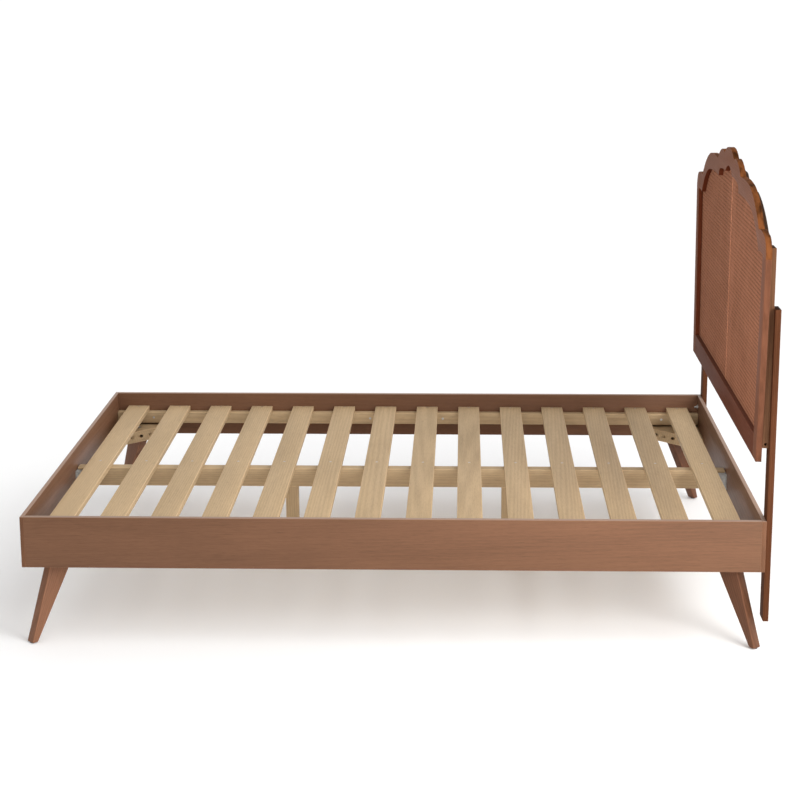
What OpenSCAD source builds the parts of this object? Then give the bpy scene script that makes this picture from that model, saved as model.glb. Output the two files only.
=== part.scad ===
// Queen-size wooden bed frame: plank rails on splayed corner legs, slats on a centre beam,
// and a cane-fronted headboard carried by battens and outside posts.
// +X runs towards the head, +Z up, origin on the floor under the middle of the whole frame.

/* [Rails] */
// Length from the foot rail's outer face to the head rail's outer face
frame_len = 2120; // [2060:10:2200]
// Width across the outer faces of the side rails
frame_w = 1570; // [1500:10:1640]
// Height of every rail plank
rail_h = 150; // [130:5:180]
// Height of the rails' lower edge above the floor
rail_z = 234; // [200:2:260]
// Thickness of the two side rails
side_t = 18; // [16:1:24]
// Thickness of the foot and head rails
end_t = 12; // [12:1:18]

/* [Legs] */
// Thickness of a leg plank
leg_t = 30; // [24:1:34]
// Width of a leg plank where it meets the rails
leg_top_w = 76; // [60:1:80]
// Width of a leg plank at the foot
leg_foot_w = 18; // [18:1:28]
// Distance of a leg's outer edge from both frame faces at the top
leg_top_in = 64; // [54:1:70]
// Distance of a leg's outer edge from both frame faces at the foot
leg_foot_in = 10; // [6:1:20]

/* [Slats] */
// Number of slats
slat_n = 14; // [12:1:16]
// Width of a slat along the bed
slat_w = 75; // [60:5:90]
// Thickness of a slat
slat_t = 18; // [15:1:22]
// Depth of the slats' top face below the rails' upper edge
slat_drop = 45; // [40:1:60]

/* [Headboard] */
// Height of the headboard's lower edge above the floor
board_z = 551; // [520:1:600]
// Thickness of the headboard's frame
board_t = 17; // [16:1:24]
// Half of the headboard's width at its lower edge
board_half = 758; // [720:1:780]
// How far each side edge leans outwards up to the shoulder
flare = 39; // [0:1:60]
// Width of the headboard's stiles
stile_w = 60; // [56:1:66]
// Height of the headboard's bottom rail
bottom_h = 68; // [60:1:80]
// Height of the seam between crest and stiles above the lower edge
crest_seam = 580; // [576:1:585]

/* [Supports] */
// Thickness of the outside posts
post_t = 16; // [14:1:20]
// Width of the outside posts
post_w = 60; // [50:1:70]
// Height of the posts' lower ends above the floor
post_z = 87; // [60:1:120]
// Height of the posts' upper ends above the floor
post_top = 990; // [960:1:1020]
// Thickness of the battens behind the headboard
batten_t = 18; // [16:1:20]
// Distance of a batten from the side rail's outer face
batten_in = 25; // [20:1:25]
// Height of the battens' lower ends above the floor
batten_z = 591; // [580:1:600]
// Height of the battens' upper ends above the floor
batten_top = 1157; // [1120:1:1170]
// Thickness of the stiffening board behind the crest
backer_t = 12; // [9:1:15]
// Radius of the cross bore near the lower end of each batten
cross_bore_r = 4; // [3:0.5:5]

/* [Levelling feet] */
// Radius of a levelling foot's threaded stud
stud_r = 4; // [3:0.5:5]
// Height of the gap between a levelling foot's pad and its leg
stud_gap = 20; // [16:1:26]

/* [Hidden] */
SLATS = [for (i = [1 : slat_n]) str("slat_", i < 10 ? "0" : "", i)];

walnut = "#7a5640";
dark_walnut = "#52321f";
birch = "#c9a878";
steel = "#b8b8b4";
$fn = 48;

// Planes along the bed
whole_len = frame_len + post_t;
foot_x = -whole_len / 2;
head_x = foot_x + frame_len;
half_w = frame_w / 2;
back_x = head_x - batten_t;
front_x = back_x - board_t;

// Heights
rail_top = rail_z + rail_h;
slat_z = rail_top - slat_drop;
ledge_top = slat_z - slat_t;
beam_h = 60;
beam_z = ledge_top - beam_h;

// Sections of the hidden timbers
ledge_h = 40;
ledge_w = 30;
block_h = 40;
beam_w = 40;

// Feet: height of a levelling foot's pad and thickness of the glides under the legs
pad_h = 8;
glide_h = 3;

// Clearance round dowels and screws, and round bolts
gap = 0.05;
bolt_gap = 0.25;

// Countersunk wood screws
screw_r = 2;
screw_head_r = 4;
screw_head_h = 2.5;
screw_tip = 3;

// Corners of the frame as signs: [towards the head, towards the left side]
CORNERS = [[-1, -1], [-1, 1], [1, -1], [1, 1]];

// Points of a circular arc from p to q whose middle stands h to the left of the chord
function arc(p, q, h, n = 8) =
    let (c = q - p, len = norm(c), r = (len * len / 4 + h * h) / (2 * h),
         mid = (p + q) / 2, left = [-c[1], c[0]] / len, o = mid + left * (h - r),
         v = p - o, sweep = -2 * asin(len / 2 / r))
    [for (i = [0 : n]) let (a = sweep * i / n)
        o + [v[0] * cos(a) - v[1] * sin(a), v[0] * sin(a) + v[1] * cos(a)]];

function flipped(pts) = [for (i = [len(pts) - 1 : -1 : 0]) [-pts[i][0], pts[i][1]]];

// Half of the crest's upper edge: four lobes from its middle out to the seam
seam_half = board_half + flare;
outer_half = concat(
    arc([0, 802], [110, 774], 8), arc([110, 776], [150, 783], 2, 4), arc([150, 783], [262, 742], 9),
    arc([263, 742], [450, 738], 5), arc([450, 738], [648, 645], 14), arc([650, 642], [740, 641], 5, 6),
    arc([740, 641], [seam_half, 585], 17), [[seam_half, crest_seam]]);

// Heights of the opening's upper edge in its middle and where it meets the stiles
opening_top = 746;
shoulder = 586;

// Half of the opening's upper edge, from its middle out to the stile
function opening_half(grow) = [for (p = concat(
    arc([0, opening_top], [76, 721], 6), arc([78, 721], [205, 714], 4, 6),
    arc([205, 714], [230, 690], 4, 6), arc([232, 689], [430, 686], 4, 6),
    arc([430, 686], [655, 583], 25, 12), arc([657, 582], [712, shoulder], 2, 4)))
    [p[0], p[1] + grow]];

// Whole outline of the opening, larger all round by grow
function opening(grow) =
    let (top = opening_half(grow), low = bottom_h - grow,
         foot_u = board_half - stile_w + flare * low / crest_seam + grow,
         seam_u = seam_half - stile_w + grow)
    concat(flipped(top), top, [[seam_u, shoulder + grow], [foot_u, low], [-foot_u, low],
           [-seam_u, shoulder + grow]]);

crest_outline = let (in_u = seam_half - stile_w, top = opening_half(0))
    concat(flipped(outer_half), outer_half, [[in_u, crest_seam], [in_u, shoulder]],
           [for (p = flipped(top)) [-p[0], p[1]]], [for (p = top) [-p[0], p[1]]],
           [[-in_u, shoulder], [-in_u, crest_seam]]);

// Half of the stiffening board's width, its lower edge and half of its upper edge
backer_reach = 680;
backer_low = 560;
backer_half = concat(
    [[0, 750]], arc([200, 750], [262, 719], 8, 6), [[430, 719]], arc([430, 719], [652, 632], 14),
    [[backer_reach, 626]]);

// Stands an outline given as [across, up] on the headboard, t thick, from front plane x
module on_board(x, t) {
    translate([x, 0, board_z]) rotate([90, 0, 90]) linear_extrude(height = t) children();
}

// Repeats a child, modelled in the corner at the origin, at the corner with signs s
module at_corner(s) {
    end_x = s[0] < 0 ? foot_x : head_x;
    translate([end_x, s[1] * half_w, 0])
        mirror([s[0] > 0 ? 1 : 0, 0, 0]) mirror([0, s[1] > 0 ? 1 : 0, 0]) children();
}

module at_corners() {
    for (s = CORNERS) at_corner(s) children();
}

module bore(r, len) {
    translate([0, 0, -len]) cylinder(r = r, h = len);
}

// A screw along +Z with its countersunk head at the top, tip at z = -len
module screw(len) {
    rotate_extrude() polygon([[0, 0], [screw_head_r, 0], [screw_r, -screw_head_h],
                              [screw_r, screw_tip - len], [0, -len]]);
}

module screw_hole(len) {
    bore(screw_r + gap, len);
}

// A screw hole with room for the head at its mouth
module sunk_hole(len) {
    screw_hole(len);
    bore(screw_head_r + gap, screw_head_h + gap);
}

dowel_r = 4;
dowel_len = 30;
dowel_end = 4;
rail_dowel_in = 35;
board_dowel_apart = 30;

// Dowels of one corner between end rail and side rail
module at_rail_dowels() {
    for (z = [rail_z + rail_dowel_in, rail_top - rail_dowel_in])
        translate([dowel_end, side_t / 2, z]) rotate([0, 90, 0]) children();
}

// The cane and the thin panel behind it fill a step cut into the back of the headboard's frame
rabbet = 10;
panel_t = 1.8;
cane_t = 1.2;
cane_depth = board_t - cane_t - panel_t;

// Dowels of the headboard's frame, each half in either piece
module at_board_dowels() {
    x = front_x + cane_depth / 2;
    for (s = [-1, 1], side = [-1, 1]) {
        translate([x, s * (seam_half - stile_w / 2 + side * board_dowel_apart / 2),
                   board_z + crest_seam - dowel_len / 2]) children();
        translate([x, s * (board_half - stile_w - dowel_len / 2),
                   board_z + (bottom_h + side * board_dowel_apart) / 2])
            rotate([-90 * s, 0, 0]) children();
    }
}

module dowel_holes() {
    at_corners() at_rail_dowels() cylinder(r = dowel_r + gap, h = dowel_len);
    at_board_dowels() cylinder(r = dowel_r + gap, h = dowel_len);
}

module dowels() {
    color(birch) {
        at_corners() at_rail_dowels() cylinder(r = dowel_r, h = dowel_len);
        at_board_dowels() cylinder(r = dowel_r, h = dowel_len);
    }
}

// ---- Legs and corner blocks -------------------------------------------------

block_reach = 230;
block_nose = 20;
leg_mid = leg_top_in + leg_top_w / 2 * cos(45);
bolt_r = 4;
bolt_depth = 45;
bolt_over = 12;
washer_r = 12;
washer_h = 2;
nut_r = 7.5;
nut_h = 6.5;

module block_blank() {
    translate([0, 0, rail_z]) linear_extrude(height = block_h)
        polygon([[end_t, side_t], [block_reach - side_t, side_t],
                 [block_reach - side_t, side_t + block_nose], [end_t + block_nose, block_reach - end_t],
                 [end_t, block_reach - end_t]]);
}

block_screw_len = 42;
block_screw_out = 35;
block_screw_z = rail_z + block_h / 2;
block_screw_at = [110, 165];
driver_r = 6;
driver_len = 120;

// Screws of one corner block, two into the side rail and two into the end rail
module at_block_screws() {
    for (a = block_screw_at) {
        translate([a, side_t + block_screw_out, block_screw_z]) rotate([-90, 0, 0]) children();
        translate([end_t + block_screw_out, a, block_screw_z]) rotate([0, 90, 0]) children();
    }
}

// Holes for the screws, with room for the screwdriver behind their heads
module block_screw_holes() {
    at_block_screws() {
        sunk_hole(block_screw_len + 2);
        cylinder(r = driver_r, h = driver_len);
    }
}

module corner_block(s) {
    color(birch) difference() {
        at_corner(s) difference() {
            block_blank();
            translate([leg_mid, leg_mid, rail_z - 1]) cylinder(r = bolt_r + bolt_gap, h = block_h + 2);
            block_screw_holes();
        }
        at_rail_bolts() bore(post_bolt_r + gap, post_bolt_len + gap);
    }
}

module block_screws() {
    color(steel) at_corners() at_block_screws() screw(block_screw_len);
}

// A tapered plank on the diagonal, splayed so that its outer edge runs out to the foot
module leg(s) {
    tilt = atan((leg_top_in - leg_foot_in) / cos(45) / rail_z);
    color(walnut) at_corner(s) difference() {
        rotate([0, 0, 45]) rotate([90, 0, 0]) translate([0, 0, -leg_t / 2])
            linear_extrude(height = leg_t) polygon([
                [leg_top_in / cos(45), rail_z],
                [leg_foot_in / cos(45) + glide_h * tan(tilt), glide_h],
                [leg_foot_in / cos(45) + glide_h * tan(tilt) + leg_foot_w, glide_h],
                [leg_top_in / cos(45) + leg_top_w, rail_z]]);
        translate([leg_mid, leg_mid, rail_z - bolt_depth]) cylinder(r = bolt_r + gap, h = bolt_depth + 1);
    }
}

module leg_bolts() {
    color(steel) at_corners() translate([leg_mid, leg_mid, rail_z - bolt_depth])
        cylinder(r = bolt_r, h = bolt_depth + block_h + bolt_over);
}

module leg_nuts() {
    color(steel) at_corners() translate([leg_mid, leg_mid, rail_z + block_h]) difference() {
        union() {
            cylinder(r = washer_r, h = washer_h);
            translate([0, 0, washer_h]) cylinder(r = nut_r, h = nut_h, $fn = 6);
        }
        translate([0, 0, -1]) cylinder(r = bolt_r + gap, h = bolt_over);
    }
}

glide_r = 8;

module foot_glides() {
    glide_mid = (leg_foot_in / cos(45) + leg_foot_w / 2 + 1) * cos(45);
    color("#2c2622") at_corners() translate([glide_mid, glide_mid, 0])
        rotate_extrude()
            polygon([[0, 0], [glide_r - 1, 0], [glide_r, 1], [glide_r, glide_h], [0, glide_h]]);
}

// ---- Rails ------------------------------------------------------------------

// Posts stand this far inside the side rails' outer faces
post_edge = 1;

// Flush-headed bolts of posts and battens
post_bolt_r = 3;
post_bolt_len = 40;
bolt_head_r = 7;
bolt_head_h = 5;
post_bolt_z = [rail_z + block_h / 2, rail_top - 40];
batten_bolt_z = [640, 930];
batten_bolt_in = 43;

// Bolts through posts and head rail, heads towards +X; the lower ones end in the corner blocks
module at_rail_bolts(heights = post_bolt_z) {
    for (s = [-1, 1], z = heights)
        translate([head_x + post_t, s * (half_w - post_edge - post_w / 2), z])
            rotate([0, 90, 0]) children();
}

// Bolts through posts and battens into the stiles, heads towards +X
module at_batten_bolts() {
    for (s = [-1, 1], z = batten_bolt_z)
        translate([head_x + post_t, s * (half_w - batten_bolt_in), z]) rotate([0, 90, 0]) children();
}

module end_rail(x) {
    color(walnut) difference() {
        translate([x, -half_w, rail_z]) cube([end_t, frame_w, rail_h]);
        dowel_holes();
        at_corners() block_screw_holes();
        at_hanger_screws() screw_hole(hanger_screw_len + gap);
        at_rail_bolts() bore(post_bolt_r + bolt_gap, post_t + end_t + 1);
    }
}

module foot_rail() {
    end_rail(foot_x);
}

module head_rail() {
    end_rail(head_x - end_t);
}

module side_rail(s) {
    y = s < 0 ? -half_w : half_w - side_t;
    color(walnut) difference() {
        translate([foot_x + end_t, y, rail_z]) cube([frame_len - 2 * end_t, side_t, rail_h]);
        dowel_holes();
        at_corners() block_screw_holes();
        at_ledge_screws() screw_hole(ledge_screw_len + 1);
    }
}

// ---- Slats, ledges and centre beam --------------------------------------------

inner_len = frame_len - 2 * end_t;
inner_x = foot_x + end_t;
slat_pitch = inner_len / slat_n;
slat_end_gap = 2;
slat_screw_len = 34;
ledge_screw_n = 8;
ledge_screw_len = 40;
beam_dowel = 20;

// Steel shoes of the beam: thickness, depth under the beam, width of a wing, and their screws
hanger_t = 3;
hanger_d = 40;
hanger_wing = 25;
hanger_h = beam_h - 4;
hanger_screw_out = 14;
hanger_screw_z = [beam_z + 12, beam_z + 40];
hanger_screw_len = 12;

function slat_x(i) = inner_x + slat_pitch * (i - 0.5);

// Screws through the ledges, half way between slats
module at_ledge_screws() {
    for (s = [-1, 1], i = [1 : ledge_screw_n])
        translate([inner_x + inner_len * (i - 0.5) / ledge_screw_n,
                   s * (half_w - side_t - ledge_w), ledge_top - ledge_h / 2])
            rotate([90 * s, 0, 0]) children();
}

// Screws down through one slat into both ledges and the beam
module at_screws_of_slat(i) {
    ledge_mid = half_w - side_t - ledge_w / 2;
    for (y = [-ledge_mid, 0, ledge_mid]) translate([slat_x(i), y, slat_z]) children();
}

module at_slat_screws() {
    for (i = [1 : slat_n]) at_screws_of_slat(i) children();
}

module slat(i) {
    color(birch) difference() {
        translate([slat_x(i) - slat_w / 2, -half_w + side_t + slat_end_gap, ledge_top])
            cube([slat_w, frame_w - 2 * (side_t + slat_end_gap), slat_t]);
        at_screws_of_slat(i) sunk_hole(slat_t + 1);
    }
}

module slat_ledge(s) {
    y = s < 0 ? -half_w + side_t : half_w - side_t - ledge_w;
    color(birch) difference() {
        translate([inner_x, y, ledge_top - ledge_h]) cube([inner_len, ledge_w, ledge_h]);
        at_slat_screws() screw_hole(slat_screw_len + 2);
        at_ledge_screws() sunk_hole(ledge_screw_len + 1);
    }
}

module centre_beam() {
    color(birch) difference() {
        translate([inner_x + hanger_t, -beam_w / 2, beam_z])
            cube([inner_len - 2 * hanger_t, beam_w, beam_h]);
        at_slat_screws() screw_hole(slat_screw_len + 2);
        at_centre_legs() translate([0, 0, beam_z]) cylinder(r = dowel_r, h = beam_dowel);
    }
}

// Screws through the hangers' wings into the end rails
module at_hanger_screws() {
    for (end = [-1, 1], y = [-1, 1], z = hanger_screw_z)
        translate([foot_x + frame_len / 2 + end * (inner_len / 2 - hanger_t),
                   y * (beam_w / 2 + hanger_screw_out), z]) rotate([0, -90 * end, 0]) children();
}

// A folded steel shoe that carries one end of the beam
module beam_hanger(end) {
    w = beam_w + 2 * gap;
    color(steel) difference() {
        translate([end < 0 ? inner_x : inner_x + inner_len, 0, 0])
            mirror([end > 0 ? 1 : 0, 0, 0]) difference() {
                union() {
                    translate([0, -w / 2 - hanger_wing, beam_z - hanger_t])
                        cube([hanger_t, w + 2 * hanger_wing, hanger_h]);
                    translate([0, -w / 2 - hanger_t, beam_z - hanger_t])
                        cube([hanger_d, w + 2 * hanger_t, hanger_h]);
                }
                translate([hanger_t, -w / 2, beam_z]) cube([hanger_d, w, beam_h]);
            }
        at_hanger_screws() screw_hole(hanger_screw_len);
    }
}

// Screws with low round heads
module hanger_screws() {
    color(steel) at_hanger_screws() {
        bore(screw_r, hanger_screw_len);
        rotate_extrude() polygon([[0, 0], [screw_head_r, 0], [3, 1.8], [0, 2.4]]);
    }
}

centre_leg_w = 40;
centre_leg_z = pad_h + stud_gap;
centre_leg_x = inner_len / 6;
stud_in = 36;
stud_room = 59;

module at_centre_leg(s) {
    translate([foot_x + frame_len / 2 + s * centre_leg_x, 0, 0]) children();
}

module at_centre_legs() {
    for (s = [-1, 1]) at_centre_leg(s) children();
}

module centre_leg(s) {
    color(birch) at_centre_leg(s) difference() {
        union() {
            translate([-centre_leg_w / 2, -centre_leg_w / 2, centre_leg_z])
                cube([centre_leg_w, centre_leg_w, beam_z - centre_leg_z]);
            translate([0, 0, beam_z - 1]) cylinder(r = dowel_r - gap, h = beam_dowel);
        }
        translate([0, 0, centre_leg_z - 1]) cylinder(r = stud_r + gap, h = stud_room + 1);
    }
}

module levelling_foot(s) {
    color("#3a3a3a") at_centre_leg(s) union() {
        rotate_extrude() polygon([[0, 0], [18, 0], [20, 2], [20, 5], [12, pad_h], [0, pad_h]]);
        cylinder(r = stud_r, h = centre_leg_z + stud_in);
        translate([0, 0, pad_h]) cylinder(r = nut_r, h = 5, $fn = 6);
    }
}

module ledge_screws() {
    color(steel) at_ledge_screws() screw(ledge_screw_len);
}

module slat_screws() {
    color(steel) at_slat_screws() screw(slat_screw_len);
}

// ---- Headboard ----------------------------------------------------------------

// Width and thickness of the strip over the seam of the two cane sheets
seam_w = 9;
strip_t = 1.2;

// Pins round the panel's sides and lower edge, given as [across, up]
pin_r = 0.8;
pin_len = 10;
pin_in = 5;
SIDE_PINS = [for (s = [-1, 1], v = [100 : 90 : 550])
    [s * (board_half - stile_w + pin_in + flare * v / crest_seam), v]];
PINS = concat(SIDE_PINS, [for (u = [-640 : 80 : 640]) [u, bottom_h - pin_in]]);

module at_pins() {
    for (p = PINS) translate([back_x, p[0], board_z + p[1]]) rotate([0, 90, 0]) children();
}

// The step behind the opening that takes the cane and its backing
module rabbet_cut() {
    on_board(front_x + cane_depth, board_t) polygon(opening(rabbet));
}

// Outline of the cane and of its backing, which lie loosely in the step
module sheet_outline() {
    polygon(opening(rabbet - 0.5));
}

module crest_rail() {
    color(dark_walnut) difference() {
        on_board(front_x, board_t) polygon(crest_outline);
        rabbet_cut();
        dowel_holes();
        at_backer_screws() screw_hole(backer_t + backer_screw_in);
    }
}

module stile(s) {
    color(dark_walnut) difference() {
        on_board(front_x, board_t) polygon([
            [s * board_half, 0], [s * seam_half, crest_seam],
            [s * (seam_half - stile_w), crest_seam], [s * (board_half - stile_w), 0]]);
        rabbet_cut();
        dowel_holes();
        at_pins() bore(pin_r + gap, pin_len + gap);
        at_batten_bolts() bore(post_bolt_r + gap, post_bolt_len + gap);
        at_batten_screws() screw_hole(batten_screw_len + 1);
    }
}

module headboard_bottom_rail() {
    low = board_half - stile_w;
    high = low + flare * bottom_h / crest_seam;
    color(dark_walnut) difference() {
        on_board(front_x, board_t)
            polygon([[-low, 0], [low, 0], [high, bottom_h], [-high, bottom_h]]);
        rabbet_cut();
        dowel_holes();
        at_pins() bore(pin_r + gap, pin_len + gap);
    }
}

module cane_sheet(s) {
    color("#a9794f") intersection() {
        difference() {
            on_board(front_x + cane_depth, cane_t) sheet_outline();
            at_pins() bore(pin_r + gap, pin_len);
        }
        translate([front_x, s < 0 ? -frame_w : 0, board_z]) cube([board_t, frame_w, frame_w]);
    }
}

// A flat strip over the joint of the two sheets
module cane_seam_strip() {
    color("#b98a5e") on_board(front_x + cane_depth - strip_t, strip_t)
        translate([-seam_w / 2, bottom_h + 0.5]) square([seam_w, opening_top - bottom_h - 1]);
}

module backing_panel() {
    color(walnut) difference() {
        on_board(front_x + cane_depth + cane_t, panel_t) sheet_outline();
        at_pins() bore(pin_r + gap, pin_len);
    }
}

module panel_pins() {
    color(steel) at_pins() bore(pin_r, pin_len);
}

// ---- Battens, stiffening board and posts -----------------------------------------

cross_bore_up = 12;
cross_bore_len = 30;

// Screws through the battens into the stiles
batten_screw_len = 30;
batten_screw_in = 10;
batten_screw_z = [700, 820, 1060];

module at_batten_screws() {
    for (s = [-1, 1], z = batten_screw_z)
        translate([head_x, s * (half_w - batten_in - batten_screw_in), z])
            rotate([0, 90, 0]) children();
}

// Screws through the stiffening board into the crest, given as [across, up]
backer_screw_in = 12;
backer_screw_at = [[200, 738], [300, 709], [420, 708], [560, 672]];

module at_backer_screws() {
    for (s = [-1, 1], p = backer_screw_at)
        translate([back_x + backer_t, s * p[0], board_z + p[1]]) rotate([0, 90, 0]) children();
}

module batten(s) {
    y = s < 0 ? -half_w + batten_in : half_w - batten_in - post_w;
    edge = s * (half_w - batten_in);
    color(walnut) difference() {
        translate([back_x, y, batten_z]) cube([batten_t, post_w, batten_top - batten_z]);
        translate([back_x + batten_t / 2, edge + s, batten_z + cross_bore_up])
            rotate([90 * s, 0, 0]) cylinder(r = cross_bore_r, h = cross_bore_len + 1);
        at_batten_bolts() bore(post_bolt_r + bolt_gap, post_bolt_len);
        at_batten_screws() sunk_hole(batten_screw_len + 1);
    }
}

// A board screwed behind the crest, which also holds in the top of the backing panel
module crest_backer() {
    color(dark_walnut) difference() {
        on_board(back_x, backer_t) polygon(concat(flipped(backer_half), backer_half,
            [[backer_reach, backer_low], [-backer_reach, backer_low]]));
        at_backer_screws() sunk_hole(backer_t + 1);
    }
}

module headboard_screws() {
    color(steel) {
        at_batten_screws() screw(batten_screw_len);
        at_backer_screws() screw(backer_t + backer_screw_in - 0.5);
    }
}

module post_bolt_hole() {
    bore(post_bolt_r + bolt_gap, post_t + 1);
    bore(bolt_head_r + bolt_gap, bolt_head_h);
}

module post(s) {
    y = s < 0 ? -half_w + post_edge : half_w - post_edge - post_w;
    color(dark_walnut) difference() {
        translate([head_x, y, post_z]) cube([post_t, post_w, post_top - post_z]);
        at_rail_bolts() post_bolt_hole();
        at_batten_bolts() post_bolt_hole();
    }
}

// A bolt whose head, with its hexagon socket, lies just under the post's face
sunk = 0.5;
socket_r = 2.5;

module flush_bolt() {
    translate([0, 0, -sunk]) {
        bore(post_bolt_r, post_bolt_len - sunk);
        difference() {
            bore(bolt_head_r, bolt_head_h - sunk);
            translate([0, 0, -socket_r]) cylinder(r = socket_r, h = socket_r + 1, $fn = 6);
        }
    }
}

module post_bolts() {
    color(steel) {
        at_rail_bolts() flush_bolt();
        at_batten_bolts() flush_bolt();
    }
}

module post_nuts() {
    color(steel) at_rail_bolts([post_bolt_z[1]]) translate([0, 0, -post_t - end_t]) difference() {
        union() {
            bore(9, 1.5);
            translate([0, 0, -1.5]) rotate([180, 0, 0]) cylinder(r = 5.6, h = 5, $fn = 6);
        }
        bore(post_bolt_r + gap, 12);
    }
}

foot_rail();
head_rail();
side_rail(-1);  // side_rail_right
side_rail(1);  // side_rail_left
slat_ledge(-1);  // slat_ledge_right
slat_ledge(1);  // slat_ledge_left
centre_beam();
beam_hanger(-1);  // beam_hanger_foot
beam_hanger(1);  // beam_hanger_head
centre_leg(-1);  // centre_leg_foot
centre_leg(1);  // centre_leg_head
levelling_foot(-1);  // levelling_foot_foot
levelling_foot(1);  // levelling_foot_head
corner_block([-1, -1]);  // corner_block_foot_right
corner_block([-1, 1]);  // corner_block_foot_left
corner_block([1, -1]);  // corner_block_head_right
corner_block([1, 1]);  // corner_block_head_left
leg([-1, -1]);  // leg_foot_right
leg([-1, 1]);  // leg_foot_left
leg([1, -1]);  // leg_head_right
leg([1, 1]);  // leg_head_left
foot_glides();
leg_bolts();
leg_nuts();
block_screws();
ledge_screws();
slat_screws();
hanger_screws();
dowels();
crest_rail();
stile(-1);  // stile_right
stile(1);  // stile_left
headboard_bottom_rail();
cane_sheet(-1);  // cane_sheet_right
cane_sheet(1);  // cane_sheet_left
cane_seam_strip();
backing_panel();
panel_pins();
crest_backer();
batten(-1);  // batten_right
batten(1);  // batten_left
post(-1);  // post_right
post(1);  // post_left
headboard_screws();
post_bolts();
post_nuts();
for (i = [1 : slat_n]) slat(i);
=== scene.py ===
import math
import random

import bmesh
import bpy
from mathutils import Matrix, Vector


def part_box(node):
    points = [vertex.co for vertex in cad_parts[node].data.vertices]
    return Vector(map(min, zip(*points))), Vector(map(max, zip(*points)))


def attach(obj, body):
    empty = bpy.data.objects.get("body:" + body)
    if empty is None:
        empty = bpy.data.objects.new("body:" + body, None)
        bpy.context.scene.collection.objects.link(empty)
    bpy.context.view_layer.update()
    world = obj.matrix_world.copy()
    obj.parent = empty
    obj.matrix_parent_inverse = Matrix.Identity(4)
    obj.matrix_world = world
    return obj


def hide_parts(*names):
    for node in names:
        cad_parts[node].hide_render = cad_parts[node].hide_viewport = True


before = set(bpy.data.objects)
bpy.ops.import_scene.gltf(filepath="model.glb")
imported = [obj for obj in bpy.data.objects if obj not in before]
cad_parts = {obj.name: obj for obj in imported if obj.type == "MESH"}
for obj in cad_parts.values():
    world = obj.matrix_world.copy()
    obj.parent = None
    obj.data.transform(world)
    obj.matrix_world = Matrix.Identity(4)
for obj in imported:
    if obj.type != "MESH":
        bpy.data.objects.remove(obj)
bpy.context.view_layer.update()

rng = random.Random(7)
MM = 0.001
BODY = "bed"
# Vertices closer than this are one
TOUCHING = 1e-5
# Edges blunter or shorter than these stay as they are when a timber's edges are eased
SHARP_ANGLE = math.radians(38)
SHORTEST_EDGE = 2.5 * MM
# Edges sharper than this show as edges
SMOOTH_ANGLE = math.radians(32)

# Nodes by kind
RAILS = ["foot_rail", "head_rail", "side_rail_right", "side_rail_left"]
LEGS = ["leg_foot_right", "leg_foot_left", "leg_head_right", "leg_head_left"]
STILES = ["stile_right", "stile_left"]
BATTENS = ["batten_right", "batten_left"]
POSTS = ["post_right", "post_left"]
SLATS = sorted(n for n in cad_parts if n.startswith("slat_") and n[5:].isdigit())
LEDGES = ["slat_ledge_right", "slat_ledge_left", "centre_beam"]
CENTRE_LEGS = ["centre_leg_foot", "centre_leg_head"]
BLOCKS = sorted(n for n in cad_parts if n.startswith("corner_block"))
STEEL = ["beam_hanger_foot", "beam_hanger_head", "leg_bolts", "leg_nuts", "block_screws",
         "ledge_screws", "slat_screws", "hanger_screws", "panel_pins", "headboard_screws",
         "post_bolts", "post_nuts"]
PLASTIC = ["foot_glides", "levelling_foot_foot", "levelling_foot_head"]


# ---- Materials ---------------------------------------------------------------

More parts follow.
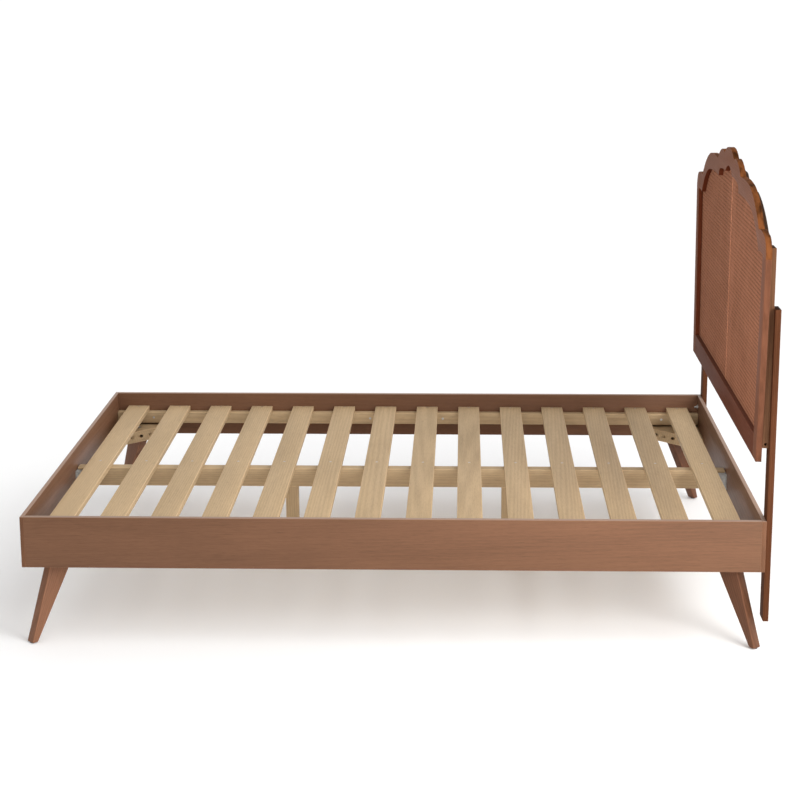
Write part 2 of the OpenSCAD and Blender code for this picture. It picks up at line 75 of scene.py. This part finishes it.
class Graph:
    """A material's node tree, with short calls for the nodes that the finishes share."""

    def __init__(self, name, roughness, metallic=0.0, specular=0.5):
        self.material = bpy.data.materials.new(name)
        self.material.use_nodes = True
        self.tree = self.material.node_tree
        self.shader = self.tree.nodes["Principled BSDF"]
        self.shader.inputs["Roughness"].default_value = roughness
        self.shader.inputs["Metallic"].default_value = metallic
        self.shader.inputs["Specular IOR Level"].default_value = specular

    def node(self, kind, **values):
        made = self.tree.nodes.new("ShaderNode" + kind)
        for key, value in values.items():
            setattr(made, key, value)
        return made

    def link(self, output, socket):
        self.tree.links.new(output, socket)

    def coordinates(self, output="Object"):
        return self.node("TexCoord").outputs[output]

    def mapped(self, source, scale, turn=(0, 0, 0), shift=(0, 0, 0)):
        turned = self.node("Mapping")
        turned.inputs["Rotation"].default_value = turn
        turned.inputs["Location"].default_value = shift
        self.link(source, turned.inputs["Vector"])
        scaled = self.node("Mapping")
        scaled.inputs["Scale"].default_value = scale
        self.link(turned.outputs[0], scaled.inputs["Vector"])
        return scaled.outputs[0]

    def noise(self, vector, scale, detail=3.0, roughness=0.55, distortion=0.0):
        made = self.node("TexNoise")
        made.inputs["Scale"].default_value = scale
        made.inputs["Detail"].default_value = detail
        made.inputs["Roughness"].default_value = roughness
        made.inputs["Distortion"].default_value = distortion
        self.link(vector, made.inputs["Vector"])
        return made.outputs["Fac"]

    def ramp(self, factor, stops):
        made = self.node("ValToRGB")
        ramp = made.color_ramp
        while len(ramp.elements) < len(stops):
            ramp.elements.new(0.5)
        for element, (place, colour) in zip(ramp.elements, stops):
            element.position = place
            element.color = (*colour, 1) if hasattr(colour, "__len__") else (colour,) * 3 + (1,)
        self.link(factor, made.inputs["Fac"])
        return made.outputs["Color"]

    def math(self, operation, a, b):
        made = self.node("Math", operation=operation)
        for socket, value in zip(made.inputs, (a, b)):
            if isinstance(value, (int, float)):
                socket.default_value = value
            else:
                self.link(value, socket)
        return made.outputs[0]

    def mix(self, factor, a, b, blend="MIX"):
        made = self.node("Mix", data_type="RGBA", blend_type=blend)
        for key, value in (("Factor_Float", factor), ("A_Color", a), ("B_Color", b)):
            socket = next(s for s in made.inputs if s.identifier == key)
            if isinstance(value, (int, float)):
                socket.default_value = value
            elif isinstance(value, tuple):
                socket.default_value = (*value, 1)
            else:
                self.link(value, socket)
        return next(s for s in made.outputs if s.identifier == "Result_Color")

    def bump(self, height, strength, distance):
        made = self.node("Bump")
        made.inputs["Strength"].default_value = strength
        made.inputs["Distance"].default_value = distance
        self.link(height, made.inputs["Height"])
        self.link(made.outputs["Normal"], self.shader.inputs["Normal"])

    def finish(self, colour, roughness=None):
        self.link(colour, self.shader.inputs["Base Color"])
        if roughness is not None:
            self.link(roughness, self.shader.inputs["Roughness"])
        return self.material


def shade(colour, factor):
    return tuple(c * factor for c in colour)


def grain_tone(g, grain, figure):
    """Growth rings of strength figure, fibres and pores along grain; each piece has its own cut."""
    axis = Vector(grain).normalized()
    turn = axis.rotation_difference(Vector((1, 0, 0))).to_euler()
    cut = g.node("VectorMath", operation="SCALE")
    cut.inputs[0].default_value = (13.1, 0.09, 0.07)
    g.link(g.node("ObjectInfo").outputs["Random"], cut.inputs["Scale"])
    own = g.node("VectorMath", operation="ADD")
    g.link(g.mapped(g.coordinates(), (1, 1, 1), turn), own.inputs[0])
    g.link(cut.outputs[0], own.inputs[1])
    place = own.outputs[0]
    leaning = g.mapped(place, (0.9, 46, 46), (0, 0.012, 0.016), (0, 0.06, 0.1))
    rings = g.node("TexWave", wave_type="RINGS", rings_direction="X", wave_profile="SIN")
    for key, value in (("Scale", 1.0), ("Distortion", 7.0), ("Detail", 3.0),
                       ("Detail Scale", 0.5), ("Detail Roughness", 0.62)):
        rings.inputs[key].default_value = value
    g.link(leaning, rings.inputs["Vector"])
    drift = g.noise(g.mapped(place, (1.4, 8, 8)), 1.0, detail=4, distortion=0.6)
    fibre = g.noise(g.mapped(place, (8, 700, 700)), 1.0, detail=3, roughness=0.7)
    pores = g.noise(g.mapped(place, (34, 1500, 1500)), 1.0, detail=1)
    tone = g.math("MULTIPLY", rings.outputs["Fac"], figure)
    tone = g.math("ADD", tone, g.math("MULTIPLY", drift, 0.63 - figure))
    tone = g.math("ADD", tone, g.math("MULTIPLY", fibre, 0.37))
    return axis, tone, fibre, pores


def wood(name, light, grain, roughness=0.42, contrast=0.4, end_shade=0.6, specular=0.15,
         edges=None, mottle=0.4, recess_shade=None, top=None, figure=0.12):
    """Stained timber; edges and the recess tint are painted shade on a lacquered piece's rims and
    inner walls, mottle says how patchy the rims' painted shade is, and top is a painted sheen that
    the upper faces are lightened towards."""
    g = Graph(name, roughness, specular=specular)
    axis, tone, fibre, pores = grain_tone(g, grain, figure)
    dark = shade(light, 1 - contrast)
    middle, bright = shade(light, 1 - 0.3 * contrast), shade(light, 1.08)
    colour = g.ramp(tone, [(0.3, dark), (0.5, middle), (0.68, bright)])
    streak = g.ramp(pores, [(0.36, 0.68), (0.46, 1.0)])
    colour = g.mix(0.6, colour, streak, "MULTIPLY")
    normal = g.coordinates("Normal")
    if edges:
        # Rims look away from the front and back faces; their darker tint is painted shade, its
        # patches a painted sheen, and inner walls take the recess's painted shade
        facing = g.node("SeparateXYZ")
        g.link(normal, facing.inputs[0])
        rim = g.ramp(g.math("ABSOLUTE", facing.outputs["X"], 0), [(0.5, 1.0), (0.9, 0.0)])
        rim_shade_patches = g.noise(g.mapped(g.coordinates(), (60, 18, 18)), 1.0, detail=4, roughness=0.6)
        tint = g.ramp(rim_shade_patches, [(0.36, shade(edges, 1 - mottle)), (0.6, shade(edges, 1 + mottle))])
        inner = g.node("Attribute", attribute_name="inner").outputs["Fac"]
        colour = g.mix(rim, colour, g.mix(inner, tint, recess_shade))
    else:
        # Cut ends drink the stain: the normal shows which faces cross the fibres
        crossing = g.node("VectorMath", operation="DOT_PRODUCT")
        crossing.inputs[1].default_value = axis
        g.link(normal, crossing.inputs[0])
        ends = g.ramp(g.math("ABSOLUTE", crossing.outputs["Value"], 0), [(0.8, 0.0), (0.93, 1.0)])
        drunk = g.mix(1.0, colour, shade((1, 0.93, 0.88), end_shade), "MULTIPLY")
        colour = g.mix(ends, colour, drunk)
        # Eased edges are painted lighter: a painted highlight along the edges
        edge_highlight = g.node("Attribute", attribute_name="eased").outputs["Fac"]
        colour = g.mix(g.math("MULTIPLY", edge_highlight, 0.35), colour, shade(light, 1.45))
    # Upper faces are painted lighter and greyer towards top: a painted sheen from the light above
    if top:
        facing = g.node("SeparateXYZ")
        g.link(normal, facing.inputs[0])
        colour = g.mix(g.ramp(facing.outputs["Z"], [(0.6, 0.0), (0.95, 0.55)]), colour, top)
    relief = g.math("ADD", g.math("MULTIPLY", fibre, 0.6), g.math("MULTIPLY", pores, 0.4))
    g.bump(relief, strength=0.22, distance=0.0004)
    gloss = g.ramp(tone, [(0.3, roughness + 0.07), (0.68, roughness - 0.05)])
    return g.finish(colour, gloss)


def cane_finish(name, light):
    """Stained rattan peel; each strand has a tone of its own in the strand attribute."""
    g = Graph(name, 0.7, specular=0.01)
    strand = g.node("Attribute", attribute_name="strand").outputs["Fac"]
    speck = g.noise(g.coordinates(), 900, detail=3, roughness=0.7)
    patch = g.noise(g.coordinates(), 5, detail=3)
    tone = g.math("ADD", g.math("MULTIPLY", strand, 0.6), g.math("MULTIPLY", patch, 0.4))
    dark, bright = shade(light, 0.6), shade(light, 1.2)
    colour = g.ramp(tone, [(0.15, dark), (0.5, shade(light, 0.9)), (0.8, bright)])
    colour = g.mix(0.45, colour, g.ramp(speck, [(0.35, 0.6), (0.6, 1.0)]), "MULTIPLY")
    g.bump(speck, 0.3, 0.0003)
    return g.finish(colour, g.ramp(speck, [(0.3, 0.78), (0.7, 0.64)]))


def steel_finish():
    g = Graph("zinc_steel", 0.34, metallic=1.0)
    source = g.coordinates()
    grain = g.noise(g.mapped(source, (1, 1, 6)), 420, detail=4)
    cloud = g.noise(source, 60, detail=5)
    colour = g.ramp(cloud, [(0.3, (0.36, 0.36, 0.35)), (0.7, (0.62, 0.62, 0.6))])
    g.bump(grain, 0.15, 0.0002)
    return g.finish(colour, g.ramp(grain, [(0.3, 0.28), (0.7, 0.44)]))


def plastic_finish():
    g = Graph("dark_plastic", 0.5)
    pebble = g.noise(g.coordinates(), 1400, detail=2)
    cloud = g.noise(g.coordinates(), 40, detail=4)
    colour = g.ramp(cloud, [(0.3, (0.018, 0.016, 0.015)), (0.7, (0.04, 0.036, 0.033))])
    g.bump(pebble, 0.3, 0.0002)
    return g.finish(colour, g.ramp(cloud, [(0.3, 0.44), (0.7, 0.58)]))


def floor_finish():
    g = Graph("floor", 0.9, specular=0.2)
    cloud = g.noise(g.coordinates(), 0.6, detail=4)
    return g.finish(g.ramp(cloud, [(0.3, (0.93, 0.93, 0.935)), (0.7, (0.96, 0.96, 0.96))]))


# ---- Wooden pieces -------------------------------------------------------------

def piece_from(name, mesh, material, body=BODY, stands_for=()):
    """Puts a finished mesh in the scene as a piece of the bed."""
    made = bpy.data.objects.new(name, mesh)
    bpy.context.scene.collection.objects.link(made)
    mesh.materials.clear()
    mesh.materials.append(material)
    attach(made, body)
    if stands_for:
        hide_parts(*stands_for)
    return made


def smooth_by_angle(bm):
    for face in bm.faces:
        face.smooth = True
    for edge in bm.edges:
        edge.smooth = len(edge.link_faces) == 2 and edge.calc_face_angle(0) < SMOOTH_ANGLE


def eased_board(node, material, ease):
    """A timber with its long edges eased, ease millimetres wide, in place of a CAD node."""
    opening = [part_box("cane_sheet_right")[0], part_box("cane_sheet_left")[1]]
    heart = (opening[0] + opening[1]) / 2
    bm = bmesh.new()
    bm.from_mesh(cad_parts[node].data)
    edge_highlight = bm.faces.layers.float.new("eased")
    inner = bm.faces.layers.float.new("inner")
    bmesh.ops.remove_doubles(bm, verts=bm.verts, dist=TOUCHING)
    bmesh.ops.dissolve_limit(bm, angle_limit=math.radians(0.5), verts=bm.verts, edges=bm.edges)
    sharp = [e for e in bm.edges if len(e.link_faces) == 2
             and e.calc_face_angle(0) > SHARP_ANGLE and e.calc_length() > SHORTEST_EDGE]
    eased = bmesh.ops.bevel(bm, geom=sharp, offset=ease * MM, segments=3, profile=0.55,
                            affect="EDGES", clamp_overlap=True)["faces"]
    bm.normal_update()
    # Eased faces are marked for a painted highlight
    for face in eased:
        face[edge_highlight] = 1
    # Faces that look towards the opening and don't face up are marked for the recess's painted
    # shade
    for face in bm.faces:
        towards = heart - face.calc_center_median()
        faces_heart = face.normal.y * towards.y + face.normal.z * towards.z > 0
        face[inner] = 1.0 if faces_heart and face.normal.z < 0.5 else 0.0
    smooth_by_angle(bm)
    mesh = bpy.data.meshes.new(node + "_eased")
    bm.to_mesh(mesh)
    bm.free()
    return piece_from(node + "_timber", mesh, material, stands_for=(node,))


# ---- Cane ------------------------------------------------------------------------

# The mesh repeats every PERIOD; the two threads of a pair lie PAIR apart
PERIOD = 12.5 * MM
PAIR = 3.4 * MM
# Widths of the level and upright threads and of the slanting ribbons
THREAD = 1.9 * MM
RIBBON = 2.6 * MM
STRAND_THICK = 0.3 * MM
# Strands end this far inside the sheet's outline, and shorter ones are left out
SHEET_INSET = 1.0 * MM
SHORTEST_STRAND = 4 * MM
# Width of the strip beside the seam where the two sheets lie over each other
LAP = 90 * MM
# Pitch and height of the seam's stitches
STITCH = 10 * MM
STITCH_THICK = 0.9 * MM
# Ranges of the strand attribute, from dark to bright; the back strands are painted darker than the
# front ones, a painted shade on the deeper strands
SHADED_BACK_TONES, LIT_FRONT_TONES, STITCH_TONES = (0.05, 0.65), (0.7, 1.0), (0.35, 1.0)


def outline_of(node):
    """Closed outline of a flat node as (across, up) pairs, read from its front face."""
    bm = bmesh.new()
    bm.from_mesh(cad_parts[node].data)
    bmesh.ops.remove_doubles(bm, verts=bm.verts, dist=TOUCHING)
    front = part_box(node)[0].x
    rim = [e for e in bm.edges if all(abs(v.co.x - front) < TOUCHING for v in e.verts)
           and len(e.link_faces) == 2 and e.calc_face_angle(0) > 1]
    segments = [tuple((v.co.y, v.co.z) for v in e.verts) for e in rim]
    bm.free()
    return segments


def crossings(segments, origin, direction):
    """Where a line meets the outline, as sorted distances along it."""
    found = []
    for (ay, az), (by, bz) in segments:
        ey, ez = by - ay, bz - az
        det = direction[0] * -ez + ey * direction[1]
        if abs(det) < 1e-12:
            continue
        oy, oz = ay - origin[0], az - origin[1]
        t = (oy * -ez + ey * oz) / det
        s = (direction[0] * oz - direction[1] * oy) / det
        if 0 <= s < 1:
            found.append(t)
    return sorted(found)


def add_strand(bm, layer, start, end, width, thick, depth, tone):
    """A flat peel between two (across, up) points, its back at depth x, crowned to the front."""
    along = (Vector(end) - Vector(start)).normalized()
    side = Vector((-along.y, along.x))
    # Across in widths, and out of the sheet in thicknesses
    section = [(-0.5, 0), (-0.36, 1), (0.36, 1), (0.5, 0)]
    rings = []
    for point in (start, end):
        ring = []
        for across, rise in section:
            y, z = Vector(point) + side * across * width
            vert = bm.verts.new((depth - rise * thick, y, z))
            vert[layer] = tone
            ring.append(vert)
        rings.append(ring)
    for i in range(len(section)):
        j = (i + 1) % len(section)
        bm.faces.new((rings[0][i], rings[0][j], rings[1][j], rings[1][i]))
    bm.faces.new(rings[0][::-1])
    bm.faces.new(rings[1])


def weave(node, low, high, depth, lap=None):
    """Octagonal cane between across = low and high, clipped to the sheet's outline.

    The strands of a lap, given as (low, high), lie half a mesh aside between the others."""
    segments = outline_of(node)
    bottom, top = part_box(node)[0].z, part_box(node)[1].z
    bm = bmesh.new()
    layer = bm.verts.layers.float.new("strand")

    def lay(origin, direction, width, level, limits, tones=SHADED_BACK_TONES):
        """A strand along a line, in as many lengths as the outline leaves of it."""
        cuts = crossings(segments, origin, direction)
        for a, b in zip(cuts[::2], cuts[1::2]):
            first, last = a + SHEET_INSET, b - SHEET_INSET
            if direction[0]:
                spans = sorted((limit - origin[0]) / direction[0] for limit in limits)
                first, last = max(first, spans[0]), min(last, spans[1])
            if last - first > SHORTEST_STRAND:
                ends = [(origin[0] + direction[0] * t, origin[1] + direction[1] * t)
                        for t in (first, last)]
                add_strand(bm, layer, *ends, width, STRAND_THICK, depth - level * STRAND_THICK,
                           rng.uniform(*tones))

    def lay_upright_and_slanting(limits, aside):
        """Pairs of uprights at the back, and one ribbon each way over them."""
        columns = range(math.floor(limits[0] / PERIOD), math.ceil(limits[1] / PERIOD) + 1)
        for k in columns:
            for side in (-0.5, 0.5):
                y = aside + k * PERIOD + side * PAIR
                if limits[0] <= y <= limits[1]:
                    lay((y, bottom - 1), (0, 1), THREAD, 0, limits)
        rise = math.sqrt(0.5)
        reach = int((top - bottom) / PERIOD) + 2
        for slope, level in ((1, 1), (-1, 2)):
            first = columns.start - (reach if slope > 0 else 0)
            last = columns.stop + (reach if slope < 0 else 0)
            for k in range(first, last):
                lay((aside + (k + 0.5) * PERIOD, bottom), (rise * slope, rise), RIBBON, level,
                    limits)

    for k in range(int((top - bottom) / PERIOD) + 2):
        for side in (-0.5, 0.5):
            z = bottom + k * PERIOD + side * PAIR
            lay((low - 1, z), (1, 0), THREAD, 3, (low, high), LIT_FRONT_TONES)
    lay_upright_and_slanting((low, high), 0.0)
    if lap:
        lay_upright_and_slanting(lap, PERIOD / 2)
    mesh = bpy.data.meshes.new(node + "_strands")
    bm.normal_update()
    bm.to_mesh(mesh)
    bm.free()
    return mesh


def seam_selvage():
    """The seam over the sheets' joint: three cords side by side, each a string of stitches."""
    low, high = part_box("cane_seam_strip")
    bm = bmesh.new()
    layer = bm.verts.layers.float.new("strand")
    cords = 3
    width = (high.y - low.y) / cords
    count = round((high.z - low.z) / STITCH)
    step = (high.z - low.z) / count
    for cord in range(cords):
        y = low.y + width * (cord + 0.5)
        for i in range(count):
            z = low.z + step * i
            lean = 0.14 * width * (-1) ** cord
            add_strand(bm, layer, (y - lean, z), (y + lean, z + 0.86 * step), width * 0.9,
                       STITCH_THICK, high.x, rng.uniform(*STITCH_TONES))
    mesh = bpy.data.meshes.new("seam")
    bm.to_mesh(mesh)
    bm.free()
    return mesh


# ---- Assembly ----------------------------------------------------------------------

ALONG, ACROSS, UP = (1, 0, 0), (0, 1, 0), (0, 0, 1)
WALNUT = (0.168, 0.080, 0.043)
# Lighter, greyer colour painted on the rails' upper faces: a painted sheen
WALNUT_TOP_SHEEN = (0.42, 0.29, 0.22)
# The legs' walnut painted darker at the head and lighter at the foot: painted shade and painted
# light on one finish
HEAD_LEG_SHADED = (0.138, 0.057, 0.029)
FOOT_LEG_LIT = (0.228, 0.105, 0.058)
BATTEN = (0.160, 0.076, 0.040)
POST = (0.098, 0.036, 0.017)
LACQUERED = (0.215, 0.100, 0.066)
# The same lacquer painted darker on the stiles and darker still on the low rail: painted shade
LACQUERED_UPRIGHT_SHADED = (0.185, 0.080, 0.050)
LACQUERED_LOW_SHADED = (0.135, 0.050, 0.031)
# Tints painted on the frame's rims and inner walls: painted shade
CREST_RIM_SHADE = (0.100, 0.034, 0.011)
FRAME_RIM_SHADE = (0.118, 0.047, 0.026)
RECESS_SHADE = (0.120, 0.030, 0.013)
BIRCH = (0.50, 0.355, 0.205)
CANE = (0.385, 0.165, 0.095)
# A leg goes down this much for each metre along and each metre across
LEG_DROP = 3.4
LACQUER = {"specular": 0.002, "contrast": 0.2, "recess_shade": RECESS_SHADE}

rail_along = wood("walnut_along", WALNUT, ALONG, contrast=0.32, end_shade=0.9, top=WALNUT_TOP_SHEEN,
                  figure=0.05)
rail_across = wood("walnut_across", WALNUT, ACROSS, contrast=0.32, end_shade=0.9, top=WALNUT_TOP_SHEEN,
                   figure=0.05)
batten_up = wood("batten_up", BATTEN, UP, end_shade=0.3, specular=0.002)
post_up = wood("post_up", POST, UP, end_shade=0.3, specular=0.002)
frame_crest = wood("lacquered_crest", LACQUERED, ACROSS, edges=CREST_RIM_SHADE, mottle=0.6, **LACQUER)
frame_up = wood("lacquered_up", LACQUERED_UPRIGHT_SHADED, UP, edges=FRAME_RIM_SHADE, mottle=0.15, **LACQUER)
frame_low = wood("lacquered_low", LACQUERED_LOW_SHADED, ACROSS, **LACQUER)
stained_dark = wood("stained_dark", (0.045, 0.023, 0.013), ACROSS, roughness=0.6, specular=0.03)
backing = wood("backing", (0.09, 0.036, 0.018), ACROSS, roughness=0.8, specular=0.05)
birch_along = wood("birch_along", BIRCH, ALONG, roughness=0.6, contrast=0.25, end_shade=0.75)
birch_across = wood("birch_across", BIRCH, ACROSS, roughness=0.6, contrast=0.25, end_shade=0.75)
birch_up = wood("birch_up", BIRCH, UP, roughness=0.6, contrast=0.25, end_shade=0.75)
cane = cane_finish("cane", CANE)
selvage = cane_finish("selvage", shade(CANE, 1.45))
steel = steel_finish()
plastic = plastic_finish()

for name in RAILS:
    eased_board(name, rail_along if "side" in name else rail_across, 1.2)
for name in LEGS:
    low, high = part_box(name)
    splay = Vector((math.copysign(1, low.x + high.x), math.copysign(1, low.y + high.y),
                    -LEG_DROP))
    # Head legs get the darker copy and foot legs the lighter one: painted shade and painted light
    tint = HEAD_LEG_SHADED if "head" in name else FOOT_LEG_LIT
    eased_board(name, wood("walnut_" + name, tint, splay), 2.5)
for name in STILES:
    eased_board(name, frame_up, 2.5)
eased_board("crest_rail", frame_crest, 2.5)
eased_board("headboard_bottom_rail", frame_low, 2.5)
for name in BATTENS:
    eased_board(name, batten_up, 1.2)
for name in POSTS:
    eased_board(name, post_up, 1.2)
eased_board("crest_backer", stained_dark, 1.5)
for name in SLATS:
    eased_board(name, birch_across, 2.0)
for name in LEDGES:
    eased_board(name, birch_along, 1.5)
for name in CENTRE_LEGS:
    eased_board(name, birch_up, 1.5)
for name in BLOCKS:
    eased_board(name, birch_along, 1.5)

sheet_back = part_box("cane_sheet_right")[1].x
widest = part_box("cane_sheet_left")[1].y
for node, low, high, lap in (("cane_sheet_right", -widest, 0.0, (-LAP, 0.0)),
                             ("cane_sheet_left", 0.0, widest, None)):
    piece_from(node + "_weave", weave(node, low, high, sheet_back, lap), cane,
               stands_for=(node,))
piece_from("cane_seam_selvage", seam_selvage(), selvage,
           stands_for=("cane_seam_strip",))

for names, material in ((["backing_panel"], backing), (["dowels"], birch_along), (STEEL, steel),
                        (PLASTIC, plastic)):
    for name in names:
        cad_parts[name].data.materials.clear()
        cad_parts[name].data.materials.append(material)


# ---- Floor, light and camera -----------------------------------------------------------

# Half the floor's side in metres, large enough for its edges to stay out of sight
HALF_FLOOR = 120
floor_mesh = bpy.data.meshes.new("floor")
floor_mesh.from_pydata([(x * HALF_FLOOR, y * HALF_FLOOR, 0) for x, y in
                        ((-1, -1), (1, -1), (1, 1), (-1, 1))], [], [(0, 1, 2, 3)])
floor = bpy.data.objects.new("floor", floor_mesh)
bpy.context.scene.collection.objects.link(floor)
floor_mesh.materials.append(floor_finish())

world = bpy.context.scene.world or bpy.data.worlds.new("studio")
bpy.context.scene.world = world
world.use_nodes = True
studio = world.node_tree
# White walls all round, dimmer towards the foot of the bed and plain white as a backdrop
FOOT_WALL, HEAD_WALL, BACKDROP = 0.42, 1.3, 1.05
direction = studio.nodes.new("ShaderNodeTexCoord")
along = studio.nodes.new("ShaderNodeSeparateXYZ")
walls = studio.nodes.new("ShaderNodeMapRange")
for key, value in (("From Min", -1), ("From Max", 1), ("To Min", FOOT_WALL),
                   ("To Max", HEAD_WALL)):
    walls.inputs[key].default_value = value
seen = studio.nodes.new("ShaderNodeLightPath")
strength = studio.nodes.new("ShaderNodeMix")
strength.inputs["B"].default_value = BACKDROP
studio.links.new(direction.outputs["Generated"], along.inputs[0])
studio.links.new(along.outputs["X"], walls.inputs["Value"])
studio.links.new(seen.outputs["Is Camera Ray"], strength.inputs["Factor"])
studio.links.new(walls.outputs["Result"], strength.inputs["A"])
studio.links.new(strength.outputs["Result"], studio.nodes["Background"].inputs["Strength"])
studio.nodes["Background"].inputs["Color"].default_value = (1, 1, 1, 1)


def sun(name, towards, strength, angle):
    """A very soft lamp far away, shining from the direction towards the bed."""
    lamp = bpy.data.lights.new(name, "SUN")
    lamp.energy = strength
    lamp.angle = math.radians(angle)
    made = bpy.data.objects.new(name, lamp)
    made.rotation_euler = Vector(towards).to_track_quat("Z", "Y").to_euler()
    bpy.context.scene.collection.objects.link(made)


def softbox(name, place, target, size, power, spread=180):
    """A round lamp, size metres across, that shines from place on target."""
    lamp = bpy.data.lights.new(name, "AREA")
    lamp.spread = math.radians(spread)
    lamp.shape = "DISK"
    lamp.size = size
    lamp.energy = power
    made = bpy.data.objects.new(name, lamp)
    made.location = place
    made.rotation_euler = (Vector(place) - Vector(target)).to_track_quat("Z", "Y").to_euler()
    bpy.context.scene.collection.objects.link(made)


sun("key", (0.9, -0.7, 1.1), 1.1, 50)
softbox("right_box", (2.6, -3.2, 1.5), (0.8, -0.8, 0.3), 2.0, 80)
softbox("left_box", (-0.5, -2.8, 1.5), (1.0, -0.6, 1.0), 1.6, 6, spread=50)

# Where the camera stands and how it is turned, in metres and degrees in the bed's own frame
EYE = Vector((0.193, -6.007, 1.976))
YAW, PITCH, ROLL = math.radians(-1.903), math.radians(13.390), math.radians(-0.206)
LENS = 86.6
SENSOR = 36.0

camera_data = bpy.data.cameras.new("camera")
camera_data.sensor_width = SENSOR
camera_data.lens = LENS
camera = bpy.data.objects.new("camera", camera_data)
bpy.context.scene.collection.objects.link(camera)
ahead = Vector((math.sin(YAW) * math.cos(PITCH), math.cos(YAW) * math.cos(PITCH), -math.sin(PITCH)))
right = Vector((math.cos(YAW), -math.sin(YAW), 0))
up = right.cross(ahead)
rolled_right = math.cos(ROLL) * right + math.sin(ROLL) * up
rolled_up = -math.sin(ROLL) * right + math.cos(ROLL) * up
turn = Matrix((rolled_right, rolled_up, -ahead)).transposed()
camera.matrix_world = Matrix.Translation(EYE) @ turn.to_4x4()
bpy.context.scene.camera = camera
bpy.context.scene.view_settings.view_transform = "Standard"
